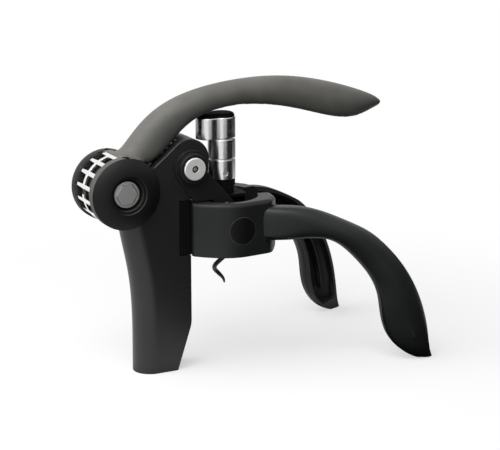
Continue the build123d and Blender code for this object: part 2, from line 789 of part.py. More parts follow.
with BuildPart() as worm:
    worm_top_height = flange_low + chuck_flange_height / 2
    quarters = round((worm_top_height - worm_tip_height) / (worm_pitch / 4))
    quarter_rise = (worm_top_height - worm_tip_height) / quarters
    with BuildLine() as worm_path:
        for quarter in range(quarters):
            start, start_way = helix_point(worm_tip_height + quarter * quarter_rise)
            end, end_way = helix_point(worm_tip_height + (quarter + 1) * quarter_rise)
            span = end - start
            way_sum = start_way + end_way
            a = way_sum.dot(way_sum) - 4
            b = -2 * span.dot(way_sum)
            reach = (-b - math.sqrt(b * b - 4 * a * span.dot(span))) / (2 * a)
            first = start + start_way * reach
            second = end - end_way * reach
            middle = (first + second) * 0.5
            TangentArc(start, middle, tangent=start_way)
            TangentArc(middle, end, tangent=(second - first).normalized())
    with BuildSketch(Plane(origin=worm_path.line @ 0, z_dir=worm_path.line % 0)):
        Circle(worm_wire_radius)
    sweep(path=worm_path.line)

with BuildPart() as worm_chuck:
    with BuildSketch(worm_plane.offset(flange_low)):
        Circle(chuck_flange_radius)
    extrude(amount=chuck_flange_height)
    with BuildSketch(worm_plane.offset(flange_low)):
        Circle(chuck_radius)
    extrude(amount=collar_top + moving_clearance - flange_low)
    with BuildSketch(worm_plane.offset(collar_top + moving_clearance)):
        Circle(chuck_head_radius)
    extrude(amount=chuck_head_height)

# Hinge block in the column's notch, with one knuckle for each jaw
with BuildPart() as hinge_block:
    with BuildSketch(plan_plane.offset(notch_bottom + notch_gap)):
        with Locations(((notch_back + leg_front) / 2, 0)):
            Rectangle(leg_front - notch_back, body_width)
    extrude(amount=notch_top - notch_bottom - 2 * notch_gap)
    with BuildSketch(plan_plane.offset(notch_bottom + notch_gap)):
        with Locations(((notch_back + leg_front) / 2, 0)):
            with GridLocations((leg_front - notch_back) / block_grooves, body_width, block_grooves, 2):
                Rectangle(block_groove, block_groove)
    extrude(amount=notch_top - notch_bottom - 2 * notch_gap, mode=Mode.SUBTRACT)
    with BuildSketch(plan_plane.offset(knuckle_bottom)):
        for side in (1, -1):
            with Locations((jaw_hinge_reach, side * jaw_hinge_offset)):
                Circle(knuckle_radius)
            with Locations(((leg_front + jaw_hinge_reach) / 2, side * jaw_hinge_offset)):
                Rectangle(jaw_hinge_reach - leg_front, knuckle_web)
    extrude(amount=knuckle_height)
    with BuildSketch(plan_plane.offset(knuckle_bottom)):
        with Locations((jaw_hinge_reach, jaw_hinge_offset), (jaw_hinge_reach, -jaw_hinge_offset)):
            Circle(hinge_pin_radius)
    extrude(amount=knuckle_height, mode=Mode.SUBTRACT)

with BuildPart() as jaw_hinge_pins:
    with BuildSketch(plan_plane.offset(jaw_bottom)):
        with Locations((jaw_hinge_reach, jaw_hinge_offset), (jaw_hinge_reach, -jaw_hinge_offset)):
            Circle(hinge_pin_radius)
    extrude(amount=jaw_height)

# Worm guide: a ring on the hinge block that centres the worm above the bottle
with BuildPart() as worm_guide:
    with BuildSketch(worm_plane.offset(guide_bottom)):
        Circle(guide_radius)
        arm_length = worm_reach - leg_front
        with Locations((-arm_length / 2, 0)):
            Rectangle(arm_length, guide_arm_width)
        Circle(guide_bore_radius, mode=Mode.SUBTRACT)
    extrude(amount=guide_height)

# Front jaw: half ring with hinge barrels, flank, prow and a hollow clamp arm
# Each station gives the upper edge, the lower edge, the crown, the fullness and the foot of the arm
arm_station_shares = (
    ((0.20, 0.955), (0.20, 0.835), 0.44, 3.2, 0.98),
    ((0.275, 0.997), (0.275, 0.80), 0.60, 3.4, 0.98),
    ((0.335, 1.0), (0.335, 0.80), 0.82, 3.4, 0.98),
    ((0.4206, 0.994), (0.4117, 0.802), 0.95, 3.2, 0.98),
    ((0.5496, 0.942), (0.504, 0.806), 1.0, 2.7, 0.98),
    ((0.7073, 0.832), (0.613, 0.737), 1.0, 2.2, 0.98),
    ((0.846, 0.635), (0.722, 0.556), 1.0, 1.9, 0.99),
    ((0.9335, 0.405), (0.769, 0.370), 0.96, 1.75, 0.99),
    ((0.971, 0.208), (0.7926, 0.200), 0.86, 1.7, 0.99),
    ((0.984, 0.085), (0.872, 0.052), 0.62, 1.7, 0.99),
    ((1.0, 0.004), (0.970, -0.004), 0.20, 1.8, 0.99),
)
arm_hollow_stations = slice(3, 10)
arm_rib_shares = ((0.42, 0.90), (0.60, 0.82), (0.78, 0.63), (0.87, 0.40), (0.905, 0.16))
jaw_flank_shares = ((-0.09, -0.348), (-0.114, -0.243), (0.02, -0.14), (0.576, -0.52))
jaw_prow_shares = ((0.937, -0.747), (1.19, -0.24), (1.19, 0.0))
jaw_prow_inner_share = 0.76


def ring_point(angle):
    """Point of the ring's outside at an angle about the bottle's axis."""
    return (jaw_centre[0] + polar(jaw_radius, angle)[0], jaw_centre[1] + polar(jaw_radius, angle)[1])


def arm_section(station, shrink, drop):
    """Crowned section of a clamp arm, with its crown towards the outside."""
    (top_s, top_h), (low_s, low_h), crown_share, fullness, foot_share = station
    top = arm_plane.from_local_coords(Vector(top_s * arm_reach, top_h * arm_height, 0))
    low = arm_plane.from_local_coords(Vector(low_s * arm_reach, low_h * arm_height, 0))
    across = (top - low).normalized()
    plane = Plane(origin=(top + low) * 0.5, x_dir=across, z_dir=across.cross(arm_plane.z_dir))
    half = (top - low).length / 2
    foot = (half * foot_share - shrink) / (half - shrink)
    return dome(plane, half - shrink, crown_share * arm_depth - shrink, fullness, foot, drop)


with BuildPart() as front_jaw:
    with BuildSketch(jaw_plane.offset(jaw_bottom)):
        with Locations(jaw_centre):
            Circle(jaw_radius)
            with Locations((0, jaw_radius)):
                Rectangle(2 * jaw_radius, 2 * jaw_radius + jaw_mouth_gap, mode=Mode.SUBTRACT)
        with Locations((0, jaw_hinge_offset)):
            Rectangle(2 * knuckle_radius, 2 * jaw_hinge_offset, mode=Mode.SUBTRACT)
        with BuildLine():
            flank = [(x * jaw_radius, y * jaw_radius) for x, y in jaw_flank_shares]
            flank_start = ring_point(jaw_flank_angle)
            TangentArc(flank_start, flank[0], tangent=polar(1, jaw_flank_angle - 90))
            Polyline(*flank, flank_start)
        make_face()
        with BuildLine():
            mouth = jaw_centre[1] - jaw_mouth_gap / 2
            prow = [(jaw_centre[0] + x * jaw_radius, mouth + y * jaw_radius) for x, y in jaw_prow_shares]
            prow_start = ring_point(jaw_prow_angle)
            FilletPolyline(prow_start, *prow, radius=jaw_corner_round)
            Polyline(prow[-1], (jaw_centre[0] + jaw_prow_inner_share * jaw_radius, mouth), prow_start)
        make_face()
        Circle(knuckle_radius)
    extrude(amount=jaw_height)
    prow_end = jaw_centre[0] + max(x for x, y in jaw_prow_shares) * jaw_radius
    with BuildSketch(Plane(origin=jaw_plane.origin, x_dir=jaw_plane.x_dir, z_dir=-jaw_plane.y_dir)):
        with Locations((prow_end, jaw_bottom + jaw_height / 2)):
            RectangleRounded(4 * jaw_radius, jaw_height, prow_round, align=(Align.MAX, Align.CENTER))
    extrude(amount=2 * jaw_radius, both=True, mode=Mode.INTERSECT)
    top_rim = []
    for edge in front_jaw.edges().group_by(Axis.Z)[-1]:
        place = jaw_plane.to_local_coords(edge.center())
        if knuckle_radius < place.X < prow_end - prow_round and place.Y < -knuckle_radius:
            top_rim.append(edge)
    fillet(top_rim, jaw_top_round)
    loft([arm_section(station, 0, arm_lip) for station in arm_station_shares])
    hollow = [
        arm_section(station, arm_wall, arm_lip + cut_overrun)
        for station in arm_station_shares[arm_hollow_stations]
    ]
    loft(hollow, mode=Mode.SUBTRACT)
    with BuildSketch(arm_plane.offset(arm_rib_level)):
        with BuildLine():
            Spline([(s * arm_reach, h * arm_height) for s, h in arm_rib_shares])
        trace(line_width=arm_rib)
    extrude(amount=arm_depth - arm_wall / 2 - arm_rib_level)
    with BuildSketch(jaw_plane.offset(jaw_bottom)):
        with Locations(jaw_centre):
            Circle(jaw_bore_radius)
        Circle(hinge_pin_radius + running_clearance)
    extrude(amount=jaw_height, mode=Mode.SUBTRACT)
    with BuildSketch(jaw_plane.offset(knuckle_bottom - moving_clearance)):
        Circle(knuckle_radius + moving_clearance)
    extrude(amount=knuckle_height + 2 * moving_clearance, mode=Mode.SUBTRACT)
    split(bisect_by=Plane.XY, keep=Keep.TOP)

with BuildPart() as rear_jaw:
    mirror(front_jaw.part, about=Plane.XZ)

# Bare round inlay in a shallow pocket of the front jaw
badge_way = jaw_plane.x_dir.rotate(Axis.Z, badge_angle)
badge_plane = Plane(
    origin=jaw_plane.from_local_coords(Vector(*jaw_centre, jaw_bottom + badge_rise)) + badge_way * jaw_radius,
    x_dir=(0, 0, 1),
    z_dir=badge_way,
)

with BuildPart() as badge_inlay:
    add(front_jaw.part)
    with BuildSketch(badge_plane.offset(-jaw_radius / 2)):
        Circle(badge_radius)
    extrude(amount=jaw_radius, mode=Mode.INTERSECT)
    with BuildSketch(jaw_plane.offset(jaw_bottom)):
        with Locations(jaw_centre):
            Circle(jaw_radius - badge_depth)
    extrude(amount=jaw_height, mode=Mode.SUBTRACT)

with front_jaw:
    add(badge_inlay.part, mode=Mode.SUBTRACT)

with badge_inlay:
    shown = [face for face in badge_inlay.faces() if face.geom_type == GeomType.CYLINDER]
    shown = max(shown, key=lambda face: face.center().dot(badge_way))
    fillet(shown.edges(), badge_edge_round)

# Grip pads that line the jaws where they hold the bottle's neck
with BuildPart() as front_jaw_pad:
    with BuildSketch(jaw_plane.offset(jaw_bottom + pad_rise)):
        with Locations(jaw_centre):
            add(sector(pad_radius, jaw_bore_radius, pad_start_angle, pad_end_angle))
    extrude(amount=pad_height)

with BuildPart() as rear_jaw_pad:
    mirror(front_jaw_pad.part, about=Plane.XZ)

for name, piece in {
    "body_casing": body_casing,
    "hub_bushes": hub_bushes,
    "rocker_bushes": rocker_bushes,
    "idler_pin": idler_pin,
    "lever": lever,
    "rib_cage": rib_cage,
    "hub_axle": hub_axle,
    "hub_gear": hub_gear,
    "idler_gear": idler_gear,
    "rocker_gear": rocker_gear,
    "rocker_axle": rocker_axle,
    "front_rocker_arm": front_rocker_arm,
    "rear_rocker_arm": rear_rocker_arm,
    "front_pivot_cap": front_pivot_cap,
    "rear_pivot_cap": rear_pivot_cap,
    "drive_pins": drive_pins,
    "carriage_block": carriage_block,
    "column_core": column_core,
    "lower_sleeve": lower_sleeve,
    "upper_sleeve": upper_sleeve,
    "set_screw": set_screw,
    "column_cap": column_cap,
    "cap_lid": cap_lid,
    "worm": worm,
    "worm_chuck": worm_chuck,
    "hinge_block": hinge_block,
    "jaw_hinge_pins": jaw_hinge_pins,
    "worm_guide": worm_guide,
    "front_jaw": front_jaw,
    "rear_jaw": rear_jaw,
    "front_jaw_pad": front_jaw_pad,
    "rear_jaw_pad": rear_jaw_pad,
    "badge_inlay": badge_inlay,
}.items():
    piece.part.label = name
    export_step(piece.part, f"parts/{name}.step")
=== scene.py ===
"""Lever corkscrew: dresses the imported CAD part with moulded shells, metals and a soft studio."""

import json
import math

import bmesh
import bpy
import numpy as np
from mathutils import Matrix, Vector


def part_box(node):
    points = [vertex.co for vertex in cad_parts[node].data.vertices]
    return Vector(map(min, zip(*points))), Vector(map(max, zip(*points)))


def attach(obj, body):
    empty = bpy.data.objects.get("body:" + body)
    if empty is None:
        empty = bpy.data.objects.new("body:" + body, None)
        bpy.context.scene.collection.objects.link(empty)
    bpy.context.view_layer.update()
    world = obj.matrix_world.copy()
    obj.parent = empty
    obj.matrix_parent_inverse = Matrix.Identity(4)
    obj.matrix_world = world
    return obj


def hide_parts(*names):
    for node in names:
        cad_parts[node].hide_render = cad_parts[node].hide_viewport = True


MM = 0.001

# Looks that all plastics or all metals share
shading_samples = 6
edge_span = (0.99, 0.75)
noise_span = (0.3, 0.7)
plastic_edge = 0.3 * MM
plastic_mottle = (0.88, 1.12)
plastic_gloss_spread = 0.05
mottle_scale = 60.0
grain_strength = 0.35
# Painted shade in the hollows of plastics: how far the ambient occlusion looks, where it darkens,
# how dark, and how rough there
hollow_distance = 12 * MM
hollow_span = (0.3, 0.8)
painted_hollow_shade = 0.08
hollow_roughness = 0.95
metal_edge = 0.2 * MM
metal_wear = (0.94, 1.0)
metal_gloss_spread = 0.07
streak_span = (0.25, 0.75)
streak_strength = 0.3

# Places where a finish changes, and where painted shade and painted highlights start: distances
# from the hub's axis, from the middle plane or from an end
cage_rib = 16.9 * MM
cage_pocket = 15.9 * MM
axle_tip = (0.6 * MM, 0.3 * MM)
lip_outer = (13.3 * MM, 12.9 * MM)
lip_middle = (0.0, 1 * MM)
badge_ring = (0.3 * MM, 0.55 * MM)
flange_face = 13 * MM
flange_face_normal = 0.6

# Skins faired over the solids
weld = 1e-6
skin_voxel = 0.5 * MM
weight_rounds = 12
fair_rounds = 60
skin_up = -0.4
lever_swell = 0.26 * MM
lever_arc_centre = (0.0, 0.03)
lever_root = (0.016, 0.0185)
cheek_side = (0.0082, 0.0092)
cheek_reach = 0.0192
flange_reach = 18.4 * MM
flange_inside = 9.5 * MM
skin_overlap = 0.15 * MM
flange_overlap = 0.1 * MM
flange_crease = math.radians(25)
arm_swell = 0.66 * MM
arm_turn = math.radians(20.3)
arm_start = (0.03, 0.05)
arm_sections = 500
arm_least_weight = 0.02
worm_gain = 0.25 * MM
worm_loss = 1.05 * MM
worm_point = 9 * MM
worm_taper = 2.2

# Studio
floor_half = 6.0
floor_paint = 0.9
floor_bounce = 0.08
floor_roughness = 0.9
floor_fade = (0.12, 0.3)
floor_near_white = 0.55
world_light = 0.06
light_aim = Vector((0, 0, 0.08))
flag_paint = 0.01
flag_steps = 24
flag_rise = 0.001
flag_top = 0.2
camera_lens = 121.79
camera_sensor = 36.0
camera_from_hub = Vector((-0.31356, -0.7573, 0.2902))
target_from_hub = Vector((0.07491, 0, 0.06944))

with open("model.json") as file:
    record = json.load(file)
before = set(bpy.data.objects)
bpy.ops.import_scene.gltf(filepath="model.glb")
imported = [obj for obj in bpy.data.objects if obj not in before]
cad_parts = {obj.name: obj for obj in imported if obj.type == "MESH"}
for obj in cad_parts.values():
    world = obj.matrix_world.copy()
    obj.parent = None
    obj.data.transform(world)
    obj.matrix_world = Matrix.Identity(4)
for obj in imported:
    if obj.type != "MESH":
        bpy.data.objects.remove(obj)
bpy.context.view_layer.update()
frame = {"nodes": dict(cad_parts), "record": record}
nodes = frame["nodes"]
scene = bpy.context.scene
scene.view_settings.view_transform = "Standard"


def grey(tone):
    """Neutral colour."""
    return (tone, tone, tone)


def shades(colour, factors):
    """A colour made darker or lighter by each factor."""
    return [tuple(channel * factor for channel in colour) for factor in factors]


def new_material(name):
    """New node material, with its tree and its Principled shader."""
    material = bpy.data.materials.new(name)
    material.use_nodes = True
    return material, material.node_tree, material.node_tree.nodes["Principled BSDF"]


def node_of(tree, kind, **values):
    """New shader node with some of its inputs set."""
    node = tree.nodes.new("ShaderNode" + kind)
    for name, value in values.items():
        node.inputs[name].default_value = value
    return node


def ramp(tree, source, low, high, first=0.0, last=1.0):
    """Value that goes smoothly from first to last as the source goes from low to high."""
    span = {"From Min": low, "From Max": high, "To Min": first, "To Max": last}
    node = node_of(tree, "MapRange", **span)
    node.interpolation_type = "SMOOTHSTEP"
    tree.links.new(source, node.inputs["Value"])
    return node.outputs["Result"]


def mix(tree, share, first, second):
    """Colour between two others; each is a colour or a socket."""
    node = tree.nodes.new("ShaderNodeMix")
    node.data_type = "RGBA"
    tree.links.new(share, node.inputs[0])
    for place, colour in ((6, first), (7, second)):
        if isinstance(colour, tuple):
            node.inputs[place].default_value = (*colour, 1)
        else:
            tree.links.new(colour, node.inputs[place])
    return node.outputs[2]


def math_of(tree, operation, first, second=0.0):
    """Sum, product or other result of one or two values; each is a number or a socket."""
    node = tree.nodes.new("ShaderNodeMath")
    node.operation = operation
    for place, value in enumerate((first, second)):
        if isinstance(value, (int, float)):
            node.inputs[place].default_value = value
        else:
            tree.links.new(value, node.inputs[place])
    return node.outputs["Value"]


def vector_math(tree, operation, first):
    """Vector node with its first input linked."""
    node = tree.nodes.new("ShaderNodeVectorMath")
    node.operation = operation
    tree.links.new(first, node.inputs[0])
    return node


def rounded_normal(tree, radius):
    """Normal with a small round on every edge, and how near the edge is."""
    edge = node_of(tree, "Bevel", Radius=radius)
    edge.samples = shading_samples
    true = tree.nodes.new("ShaderNodeNewGeometry")
    dot = vector_math(tree, "DOT_PRODUCT", edge.outputs["Normal"])
    tree.links.new(true.outputs["Normal"], dot.inputs[1])
    return edge.outputs["Normal"], ramp(tree, dot.outputs["Value"], *edge_span)


def bumped(tree, shader, height, strength, depth, normal):
    """Gives the shader a fine relief on top of a normal."""
    bump = node_of(tree, "Bump", Strength=strength, Distance=depth * MM)
    tree.links.new(height, bump.inputs["Height"])
    tree.links.new(normal, bump.inputs["Normal"])
    tree.links.new(bump.outputs["Normal"], shader.inputs["Normal"])


def tinted(tree, place, tone, tint):
    """Tone with another colour where a mask says so."""
    if not tint:
        return tone
    mask, colour = tint
    return mix(tree, mask(tree, place), tone, colour)


def moulded(name, colour, roughness, grain=2600, depth=0.02, specular=0.4, edge_highlight=2.5, tint=None):
    """Moulded plastic: spark-eroded grain, soft mottling, edges painted lighter as a highlight,
    hollows painted dark as shade.
    """
    material, tree, shader = new_material(name)
    link = tree.links.new
    place = tree.nodes.new("ShaderNodeTexCoord").outputs["Object"]
    fine = node_of(tree, "TexNoise", Scale=grain, Detail=4.0)
    broad = node_of(tree, "TexNoise", Scale=mottle_scale, Detail=3.0)
    link(place, fine.inputs["Vector"])
    link(place, broad.inputs["Vector"])
    normal, near_edge = rounded_normal(tree, plastic_edge)
    dim, bright, edge_highlight_tone, shaded = shades(colour, (*plastic_mottle, edge_highlight, painted_hollow_shade))
    tone = mix(tree, ramp(tree, broad.outputs["Fac"], *noise_span), dim, bright)
    # Painted highlight: the colour is made lighter near every edge
    tone = tinted(tree, place, mix(tree, near_edge, tone, edge_highlight_tone), tint)
    # Painted shade: the colour darkens in hollows that the ambient occlusion finds
    sky = node_of(tree, "AmbientOcclusion", Distance=hollow_distance)
    sky.samples = shading_samples
    openness = ramp(tree, sky.outputs["AO"], *hollow_span)
    link(mix(tree, openness, shaded, tone), shader.inputs["Base Color"])
    low, high = roughness - plastic_gloss_spread, roughness + plastic_gloss_spread
    gloss = ramp(tree, fine.outputs["Fac"], *noise_span, low, high)
    dull = ramp(tree, openness, 0.0, 1.0, hollow_roughness, 0.0)
    link(math_of(tree, "MAXIMUM", gloss, dull), shader.inputs["Roughness"])
    bumped(tree, shader, fine.outputs["Fac"], grain_strength, depth, normal)
    shader.inputs["Specular IOR Level"].default_value = specular
    return material


def metal(name, colour, roughness, streak, depth, tint=None, metallic=1.0):
    """Turned, cast or plated metal: streaks that vary its gloss, and another tone by a mask."""
    material, tree, shader = new_material(name)
    link = tree.links.new
    place = tree.nodes.new("ShaderNodeTexCoord").outputs["Object"]
    stretch = node_of(tree, "Mapping", Scale=streak)
    noise = node_of(tree, "TexNoise", Scale=1.0, Detail=5.0)
    link(place, stretch.inputs["Vector"])
    link(stretch.outputs["Vector"], noise.inputs["Vector"])
    low, high = roughness * (1 - metal_gloss_spread), roughness * (1 + metal_gloss_spread)
    link(ramp(tree, noise.outputs["Fac"], *streak_span, low, high), shader.inputs["Roughness"])
    normal, _ = rounded_normal(tree, metal_edge)
    bumped(tree, shader, noise.outputs["Fac"], streak_strength, depth, normal)
    worn = mix(tree, ramp(tree, noise.outputs["Fac"], *noise_span), *shades(colour, metal_wear))
    link(tinted(tree, place, worn, tint), shader.inputs["Base Color"])
    shader.inputs["Metallic"].default_value = metallic
    return material


def axis_part(tree, place, axis):
    """One coordinate of a place."""
    parts = tree.nodes.new("ShaderNodeSeparateXYZ")
    tree.links.new(place, parts.inputs["Vector"])
    return parts.outputs[axis]


def from_hub_axis(tree, place):
    """Distance from the hub's axis."""
    squares = []
    for axis, value in (("X", hub.x), ("Z", hub.z)):
        offset = math_of(tree, "SUBTRACT", axis_part(tree, place, axis), value)
        squares.append(math_of(tree, "MULTIPLY", offset, offset))
    return math_of(tree, "SQRT", math_of(tree, "ADD", *squares))


def middle_of(node):
    """Centre of a node's box."""
    return sum((Vector(corner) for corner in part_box(node)), Vector()) / 2


hub = middle_of("hub_axle")
column = middle_of("worm")
badge = middle_of("badge_inlay")


def cage_pocket_shade(tree, place):
    """The cage's pockets, which lie deeper than its ribs, are painted dark as shade."""
    return ramp(tree, from_hub_axis(tree, place), cage_rib, cage_pocket)


def axle_tip_unshaded(tree, place):
    """The rocker axle is painted almost black, as shade in its cap's hole; only the small pin in
    its middle keeps a bright steel tone.
    """
    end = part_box("rocker_axle")[1][1]
    side = math_of(tree, "ABSOLUTE", axis_part(tree, place, "Y"))
    return ramp(tree, side, *(end - depth for depth in axle_tip))


def rear_lip_shade(tree, place):
    """The inner half of the rear flange's rim is painted dark, as the shade it gets in the dark of
    the cage.
    """
    side = axis_part(tree, place, "Y")
    return math_of(tree, "MULTIPLY", ramp(tree, side, *lip_outer), ramp(tree, side, *lip_middle))


def badge_field_inside_highlight(tree, place):
    """The badge's field, inside a thin raised ring that is painted lighter as a highlight."""
    away = vector_math(tree, "DISTANCE", place)
    away.inputs[1].default_value = badge
    outer = (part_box("badge_inlay")[1][2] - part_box("badge_inlay")[0][2]) / 2
    return ramp(tree, away.outputs["Value"], *(outer - depth for depth in badge_ring))


# The edge factor of each plastic says how much lighter its edges are painted, as a highlight
plastics = {
    "body_black": dict(colour=(0.0095, 0.0095, 0.009), roughness=0.4, specular=0.5, edge_highlight=4.0),
    "arm_black": dict(colour=(0.02, 0.021, 0.021), roughness=0.42, specular=0.2, edge_highlight=1.8),
    "lever_grey": dict(colour=(0.13, 0.128, 0.117), roughness=0.55, specular=0.2, edge_highlight=1.2),
    "flange_grey": dict(
        colour=(0.085, 0.083, 0.075),
        roughness=0.55,
        specular=0.3,
        edge_highlight=1.6,
        # The rear lip is painted almost black, as shade
        tint=(rear_lip_shade, grey(0.004)),
    ),
    "face_black": dict(colour=(0.006, 0.006, 0.0058), roughness=0.5, specular=0.2, edge_highlight=8.0),
    "link_black": dict(colour=grey(0.009), roughness=0.42, specular=0.3, edge_highlight=8.0),
    "carriage_black": dict(colour=grey(0.005), roughness=0.7, specular=0.08),
    "lid_black": dict(
        colour=grey(0.0035), roughness=0.6, grain=900, depth=0.002, specular=0.03, edge_highlight=12.0
    ),
    "badge_black": dict(
        # Painted highlight: the badge's thin ring keeps this lighter tone, its field the darker one
        colour=grey(0.06),
        roughness=0.4,
        grain=1800,
        depth=0.01,
        specular=0.2,
        tint=(badge_field_inside_highlight, grey(0.006)),
    ),
    "bush_grey": dict(colour=grey(0.03), roughness=0.5, grain=1800, depth=0.01),
    "pad_rubber": dict(colour=grey(0.01), roughness=0.75, grain=1500, depth=0.03, specular=0.2),
    "worm_black": dict(colour=grey(0.006), roughness=0.35, grain=1200, depth=0.01, specular=0.3),
}
metals = {
    "column_silver": dict(
        colour=(0.78, 0.785, 0.79), roughness=0.24, streak=(60, 60, 5000), depth=0.0002
    ),
    "cage_chrome": dict(
        colour=(0.9, 0.9, 0.91),
        roughness=0.1,
        streak=(500, 500, 500),
        depth=0.0004,
        # The pockets are painted almost black, as shade between the ribs
        tint=(cage_pocket_shade, (0.03, 0.03, 0.032)),
    ),
    "pin_steel": dict(
        colour=(0.72, 0.72, 0.71), roughness=0.34, streak=(4000, 4000, 4000), depth=0.003
    ),
    "cap_satin": dict(
        colour=(0.97, 0.965, 0.95),
        roughness=0.45,
        streak=(3000, 3000, 3000),
        depth=0.002,
        metallic=0.0,
    ),
    "axle_shaded_steel": dict(
        # Painted shade: the steel axle is painted almost black, except at its tip
        colour=grey(0.01),
        roughness=0.3,
        streak=(3000, 3000, 3000),
        depth=0.002,
        tint=(axle_tip_unshaded, (0.85, 0.85, 0.84)),
    ),
    "gear_steel": dict(
        colour=(0.3, 0.3, 0.31), roughness=0.4, streak=(3000, 3000, 3000), depth=0.003
    ),
}
materials = {name: moulded(name, **look) for name, look in plastics.items()}
materials.update({name: metal(name, **look) for name, look in metals.items()})

# Nodes whose finish is finer than their slot in the record
by_node = {
    "front_pivot_cap": "cap_satin",
    "rear_pivot_cap": "cap_satin",
    # The rocker axle's finish paints shade in the hole of its cap
    "rocker_axle": "axle_shaded_steel",
    "carriage_block": "carriage_black",
    "hinge_block": "carriage_black",
}
for subpart in frame["record"]["subparts"]:
    finish = by_node.get(subpart["node"], subpart["material_slot"])
    mesh = nodes[subpart["node"]].data
    mesh.materials.clear()
    mesh.materials.append(materials[finish])


def ease(value, low, high):
    """Smooth step from 0 at low to 1 at high, for arrays."""
    share = np.clip((value - low) / (high - low), 0, 1)
    return share * share * (3 - 2 * share)


def new_piece(name, mesh):
    """New object in the scene."""
    piece = bpy.data.objects.new(name, mesh)
    scene.collection.objects.link(piece)
    return piece


def remeshed(node):
    """Closed even mesh of a node, as an object of its own."""
    bm = bmesh.new()
    bm.from_mesh(nodes[node].data)
    bmesh.ops.remove_doubles(bm, verts=bm.verts, dist=weld)
    mesh = bpy.data.meshes.new(node + "_skin")
    bm.to_mesh(mesh)
    bm.free()
    piece = new_piece(node + "_skin", mesh)
    even = piece.modifiers.new("even", "REMESH")
    even.mode = "VOXEL"
    even.voxel_size = skin_voxel
    even.adaptivity = 0.0
    graph = bpy.context.evaluated_depsgraph_get()
    done = bpy.data.meshes.new_from_object(piece.evaluated_get(graph))
    piece.modifiers.clear()
    piece.data = done
    return piece


def smooth(mesh, weight_of, swell):
    """Fairs the vertices by the weight of each, then swells them by about what the fairing took."""
    count = len(mesh.vertices)
    points = np.empty(count * 3)
    mesh.vertices.foreach_get("co", points)
    points = points.reshape(-1, 3)
    normals = np.empty(count * 3)
    mesh.vertices.foreach_get("normal", normals)
    normals = normals.reshape(-1, 3)
    pairs = np.empty(len(mesh.edges) * 2, dtype=np.int64)
    mesh.edges.foreach_get("vertices", pairs)
    first, second = pairs.reshape(-1, 2).T
    degree = np.bincount(pairs, minlength=count)[:, None]

    def around(values):
        """Mean of each vertex's neighbours."""
        total = np.zeros_like(values)
        for axis in range(values.shape[1]):
            total[:, axis] = np.bincount(first, values[second, axis], count)
            total[:, axis] += np.bincount(second, values[first, axis], count)
        return total / degree

    weight = weight_of(points, normals)[:, None]
    for _ in range(weight_rounds):
        weight = around(weight)
    for _ in range(fair_rounds):
        points = points + weight * (around(points) - points)
    points = points + normals * weight * swell
    # The feet stay on the floor
    points[:, 2] = np.maximum(points[:, 2], 0)
    mesh.vertices.foreach_set("co", points.ravel())
    mesh.update()
    return weight[:, 0]


def from_middle(steps, values):
    """Offset of each value from the middle of its own section."""
    middle = np.zeros(len(values))
    for step in np.unique(steps):
        here = steps == step
        middle[here] = (values[here].min() + values[here].max()) / 2
    return values - middle


def section_mask(steps, across, rise, normal_across, normal_rise, up):
    """Outer skin of a hollow bar: its normals lead away from the middle of its own section."""
    outward = across * normal_across + from_middle(steps, rise) * normal_rise
    return (outward > 0) & (up > skin_up)


def lever_weight(points, normals):
    """The handle and its root are faired; the hub and the hollow keep their shape."""
    lift = points[:, (0, 2)] - np.array(lever_arc_centre)
    radius = np.linalg.norm(lift, axis=1)
    up = lift / radius[:, None]
    normal_up = normals[:, 0] * up[:, 0] + normals[:, 2] * up[:, 1]
    steps = np.round(np.degrees(np.arctan2(lift[:, 1], lift[:, 0]))).astype(int)
    mask = section_mask(steps, points[:, 1], radius, normals[:, 1], normal_up, normal_up)
    reach = np.hypot(points[:, 0] - hub.x, points[:, 2] - hub.z)
    cheek = ease(np.abs(points[:, 1]), *cheek_side) * (reach < cheek_reach)
    return mask * ease(reach, *lever_root) * (1 - cheek)


def arm_weight(side):
    """Weights of a clamp arm on one side; the ring and the hollow keep their shape."""
    out = np.array((-math.sin(arm_turn), side * math.cos(arm_turn)))
    run = np.array((math.cos(arm_turn), side * math.sin(arm_turn)))

    def weights(points, normals):
        place = points[:, :2] - np.array((column.x, column.y))
        along = place @ run
        steps = np.round(along * arm_sections).astype(int)
        across = from_middle(steps, place @ out)
        normal_out = normals[:, :2] @ out
        mask = section_mask(steps, across, points[:, 2], normal_out, normals[:, 2], normal_out)
        return mask * ease(along, *arm_start)

    return weights


def dress(piece, body, slot):
    """Gives a smooth piece its finish and the body that it rides on."""
    piece.data.materials.clear()
    piece.data.materials.append(materials[slot])
    piece.data.shade_smooth()
    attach(piece, body)


def in_flange(face, margin):
    """Whether a face of the lever is in one of the hub's two flanges."""
    centre = face.calc_center_median()
    near = math.hypot(centre.x - hub.x, centre.z - hub.z) < flange_reach
    return near and abs(centre.y) > flange_inside + margin


def keep_faces(mesh, test):
    """Leaves only the faces that pass a test."""
    bm = bmesh.new()
    bm.from_mesh(mesh)
    gone = [face for face in bm.faces if not test(face)]
    bmesh.ops.delete(bm, geom=gone, context="FACES")
    bm.to_mesh(mesh)
    bm.free()


# The lever is a fair skin, with the crisp flanges of its solid
lever_skin = remeshed("lever")
smooth(lever_skin.data, lever_weight, lever_swell)
keep_faces(lever_skin.data, lambda face: not in_flange(face, skin_overlap))
dress(lever_skin, "lever", "lever_grey")
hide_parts("lever")

flange_mesh = nodes["lever"].data.copy()
keep_faces(flange_mesh, lambda face: in_flange(face, -flange_overlap))
flanges = new_piece("hub_flanges", flange_mesh)
flange_mesh.materials.clear()
flange_mesh.materials.append(materials["flange_grey"])
flange_mesh.materials.append(materials["face_black"])
for polygon in flange_mesh.polygons:
    sideways = abs(polygon.normal.y) > flange_face_normal
    if sideways and abs(polygon.center.y) > flange_face:
        polygon.material_index = 1
flange_mesh.set_sharp_from_angle(angle=flange_crease)
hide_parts("lever")
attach(flanges, "lever")

